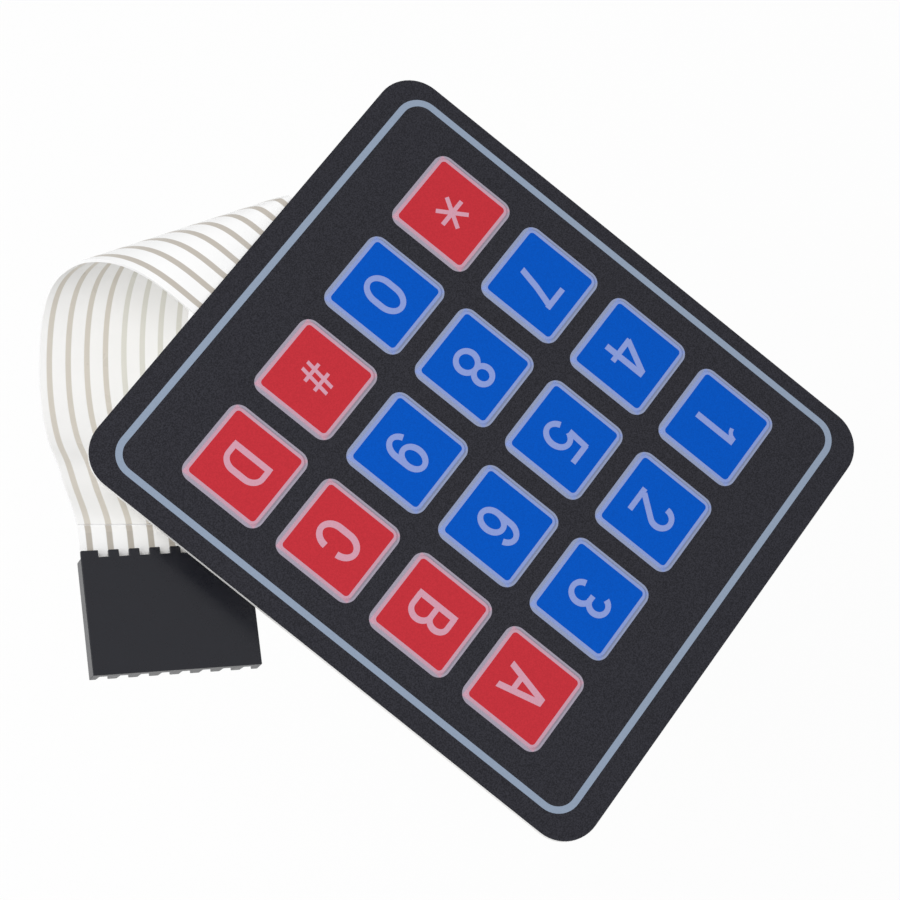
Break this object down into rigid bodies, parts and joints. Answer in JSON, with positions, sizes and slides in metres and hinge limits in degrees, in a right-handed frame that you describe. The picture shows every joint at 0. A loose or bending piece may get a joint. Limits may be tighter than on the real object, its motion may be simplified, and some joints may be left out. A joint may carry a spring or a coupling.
{
  "type": "membrane keypad",
  "caption": "Flat square-key membrane keypad: embossed printed overlay on glued circuit films, with a curled film tail that ends in a pin socket.",
  "frame": {"origin": "centre of the rear face, where the keypad is stuck to a panel", "axes": "+X along a row of keys from the first to the last, +Y towards the first row, +Z out of the keys"},
  "size_m": [0.0876, 0.0945, 0.0238],
  "materials": {
    "overlay": "fine matte texture",
    "line_ink": "matte print",
    "frame_ink": "matte print",
    "blue_ink": "matte print",
    "red_ink": "matte print",
    "glue": "clear glue",
    "film": "smooth film",
    "liner": "coated paper",
    "socket": "moulded plastic",
    "contact": "bright plating"
  },
  "bodies": {
    "root": {"release_liner": "liner", "rear_adhesive": "glue", "lower_circuit": "film", "spacer": "glue", "upper_circuit": "film", "overlay_adhesive": "glue", "graphic_overlay": "overlay", "border_ink": "line_ink", "frame_ink": "frame_ink", "blue_key_ink": "blue_ink", "red_key_ink": "red_ink", "connector_housing": "socket", "contact_1": "contact", "contact_2": "contact", "contact_3": "contact", "contact_4": "contact", "contact_5": "contact", "contact_6": "contact", "contact_7": "contact", "contact_8": "contact"}
  },
  "joints": []
}
